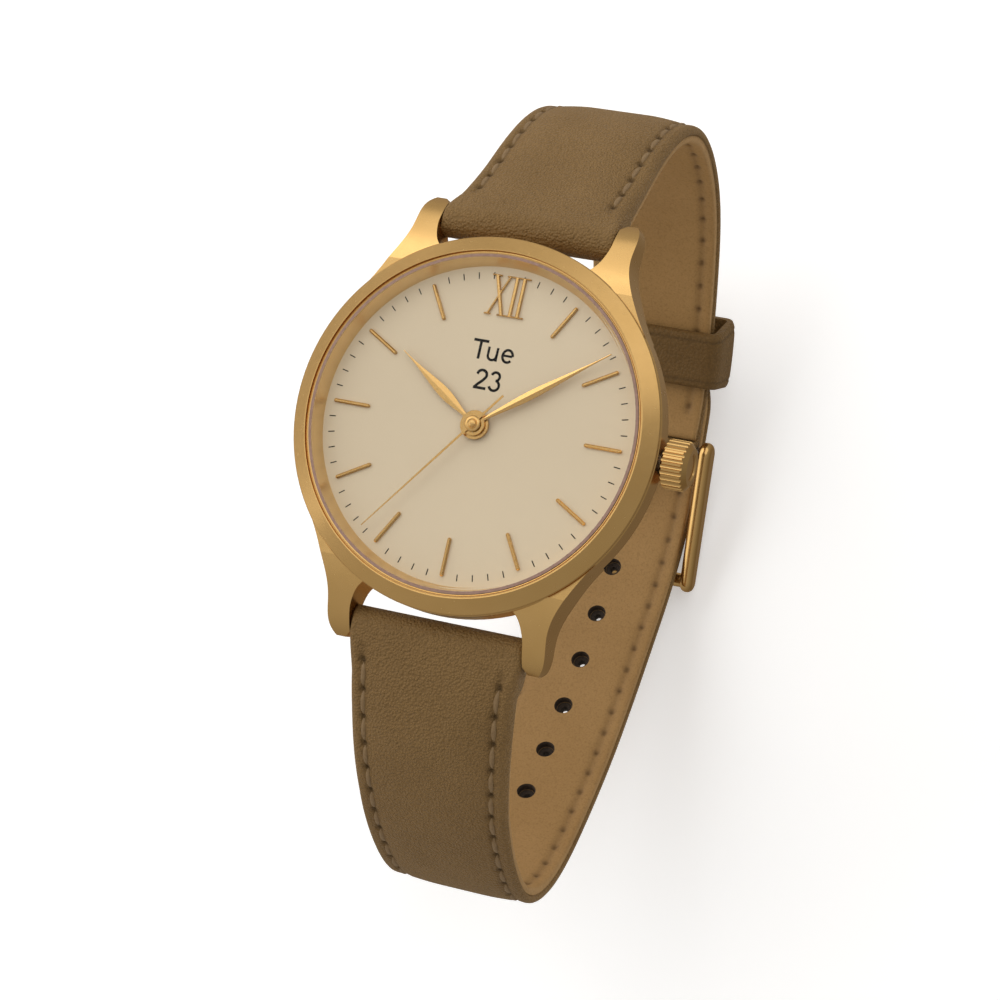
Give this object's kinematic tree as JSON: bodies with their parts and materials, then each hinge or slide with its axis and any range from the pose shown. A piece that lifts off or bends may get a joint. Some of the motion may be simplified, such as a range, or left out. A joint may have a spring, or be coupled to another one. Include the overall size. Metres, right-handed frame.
{
  "type": "wristwatch",
  "caption": "Round three-hand quartz wristwatch with gold-tone case, cream dial, leather strap buckled closed, sliding keeper and pull-out crown.",
  "frame": {"origin": "centre of the case back's flat outer face", "axes": "+Z out of the dial, +Y towards twelve o'clock, +X towards the crown"},
  "size_m": [0.0399, 0.0836, 0.0625],
  "materials": {
    "gold_polished": "polished gold plate",
    "gold_satin": "satin gold plate",
    "outer_leather": "fine grain, satin",
    "lining_leather": "smooth matt",
    "dial_lacquer": "matt cream lacquer",
    "crystal_glass": "clear polished",
    "gasket_rubber": "matt",
    "black_rubber": "matt",
    "ring_plastic": "moulded",
    "plate_plastic": "moulded",
    "train_brass": "machined",
    "steel": "machined",
    "steel_bright": "polished",
    "board_green": "solder mask",
    "chip_black": "epoxy",
    "coil_copper": "enamelled wire"
  },
  "bodies": {
    "case": {"case_middle": "gold_satin", "bezel": "gold_satin", "crystal": "crystal_glass", "crystal_gasket": "gasket_rubber", "rehaut_ring": "gold_polished", "caseback": "steel_bright", "caseback_gasket": "black_rubber", "dial": "dial_lacquer", "hour_markers": "gold_polished", "numeral_twelve": "gold_polished", "main_plate": "plate_plastic", "movement_ring": "ring_plastic", "train_bridge": "steel", "bridge_screws": "steel", "wheel_cock": "steel", "stator": "steel", "coil_core": "steel", "coil_winding": "coil_copper", "coil_screws": "steel", "circuit_board": "board_green", "ic_chip": "chip_black", "quartz_oscillator": "steel_bright", "battery": "steel_bright", "battery_clamp": "steel", "crown_tube": "steel", "spring_bar_twelve": "steel", "spring_bar_six": "steel", "strap_twelve_outer": "outer_leather", "strap_twelve_lining": "lining_leather", "strap_six_outer": "outer_leather", "strap_six_lining": "lining_leather", "buckle_bar": "steel"},
    "minute": {"centre_wheel": "train_brass", "cannon_pinion": "steel", "minute_hand": "gold_polished"},
    "hour": {"hour_wheel": "train_brass", "hour_hand": "gold_polished"},
    "seconds": {"fourth_wheel": "train_brass", "second_hand": "gold_polished"},
    "third": {"third_wheel": "train_brass"},
    "fifth": {"fifth_wheel": "train_brass"},
    "motor": {"rotor": "steel"},
    "minute_works": {"minute_wheel": "train_brass"},
    "setting": {"setting_wheel": "steel"},
    "crown_seal": {"crown_gasket": "black_rubber"},
    "crown": {"crown": "gold_polished", "stem": "steel"},
    "clutch": {"clutch_wheel": "steel"},
    "lever": {"setting_lever": "steel"},
    "yoke": {"yoke": "steel"},
    "pin_twelve_left": {"bar_pin_twelve_left": "steel"},
    "pin_twelve_right": {"bar_pin_twelve_right": "steel"},
    "pin_six_left": {"bar_pin_six_left": "steel"},
    "pin_six_right": {"bar_pin_six_right": "steel"},
    "keeper": {"keeper": "outer_leather"},
    "buckle": {"buckle_frame": "gold_polished"},
    "tongue": {"buckle_tongue": "gold_polished"}
  },
  "joints": [
    {"name": "minute_turn", "type": "hinge", "parent": "case", "child": "minute", "pos_m": [0, 0, 0.003], "axis": [0, 0, -1], "continuous": true},
    {"name": "hour_turn", "type": "hinge", "parent": "case", "child": "hour", "pos_m": [0, 0, 0.003], "axis": [0, 0, -1], "continuous": true},
    {"name": "seconds_turn", "type": "hinge", "parent": "case", "child": "seconds", "pos_m": [0, 0, 0.003], "axis": [0, 0, -1], "continuous": true},
    {"name": "third_turn", "type": "hinge", "parent": "case", "child": "third", "pos_m": [-0.00319, -0.00116, 0.003], "axis": [0, 0, -1], "continuous": true},
    {"name": "fifth_turn", "type": "hinge", "parent": "case", "child": "fifth", "pos_m": [-0.0014, 0.00242, 0.003], "axis": [0, 0, -1], "continuous": true},
    {"name": "rotor_turn", "type": "hinge", "parent": "case", "child": "motor", "pos_m": [-0.00248, 0.0043, 0.003], "axis": [0, 0, -1], "continuous": true},
    {"name": "minute_wheel_turn", "type": "hinge", "parent": "case", "child": "minute_works", "pos_m": [0.0024, 0, 0.003], "axis": [0, 0, -1], "continuous": true},
    {"name": "setting_wheel_turn", "type": "hinge", "parent": "case", "child": "setting", "pos_m": [0.0057, 0, 0.003], "axis": [0, 0, -1], "continuous": true},
    {"name": "crown_pull", "type": "slide", "parent": "case", "child": "crown_seal", "axis": [1, 0, 0], "range_m": [0, 0.0008]},
    {"name": "crown_turn", "type": "hinge", "parent": "crown_seal", "child": "crown", "pos_m": [0.0188, 0, 0.003], "axis": [1, 0, 0], "continuous": true},
    {"name": "clutch_slide", "type": "slide", "parent": "crown", "child": "clutch", "axis": [1, 0, 0], "range_m": [-0.0016, 0]},
    {"name": "lever_turn", "type": "hinge", "parent": "case", "child": "lever", "pos_m": [0.011, 0.0022, 0.003], "axis": [0, 0, 1], "range_deg": [0, 25.61]},
    {"name": "yoke_turn", "type": "hinge", "parent": "case", "child": "yoke", "pos_m": [0.0087, -0.0029, 0.003], "axis": [0, 0, 1], "range_deg": [0, 21.17]},
    {"name": "pin_twelve_left_push", "type": "slide", "parent": "case", "child": "pin_twelve_left", "axis": [1, 0, 0], "range_m": [0, 0.0009], "stiffness_N_per_m": 400, "springref_m": -0.002},
    {"name": "pin_twelve_right_push", "type": "slide", "parent": "case", "child": "pin_twelve_right", "axis": [-1, 0, 0], "range_m": [0, 0.0009], "stiffness_N_per_m": 400, "springref_m": -0.002},
    {"name": "pin_six_left_push", "type": "slide", "parent": "case", "child": "pin_six_left", "axis": [1, 0, 0], "range_m": [0, 0.0009], "stiffness_N_per_m": 400, "springref_m": -0.002},
    {"name": "pin_six_right_push", "type": "slide", "parent": "case", "child": "pin_six_right", "axis": [-1, 0, 0], "range_m": [0, 0.0009], "stiffness_N_per_m": 400, "springref_m": -0.002},
    {"name": "keeper_slide", "type": "hinge", "parent": "case", "child": "keeper", "pos_m": [0, 0.0092, -0.0236], "axis": [1, 0, 0], "range_deg": [-6, 8]},
    {"name": "buckle_turn", "type": "hinge", "parent": "case", "child": "buckle", "pos_m": [0, 0.0085, -0.0493], "axis": [1, 0, 0], "range_deg": [0, 2]},
    {"name": "tongue_turn", "type": "hinge", "parent": "buckle", "child": "tongue", "pos_m": [0, 0.0085, -0.0493], "axis": [1, 0, 0], "range_deg": [0, 3]}
  ],
  "couplings": [
    {"joint": "hour_turn", "follows": "minute_turn", "ratio": 0.083333},
    {"joint": "seconds_turn", "follows": "minute_turn", "ratio": 60},
    {"joint": "third_turn", "follows": "minute_turn", "ratio": -8},
    {"joint": "fifth_turn", "follows": "minute_turn", "ratio": -360},
    {"joint": "rotor_turn", "follows": "minute_turn", "ratio": 1800},
    {"joint": "minute_wheel_turn", "follows": "minute_turn", "ratio": -0.33333},
    {"joint": "setting_wheel_turn", "follows": "minute_turn", "ratio": 0.4},
    {"joint": "clutch_slide", "follows": "crown_pull", "ratio": -2},
    {"joint": "lever_turn", "follows": "crown_pull", "rad_per_m": 558.69},
    {"joint": "yoke_turn", "follows": "crown_pull", "rad_per_m": 461.96}
  ]
}
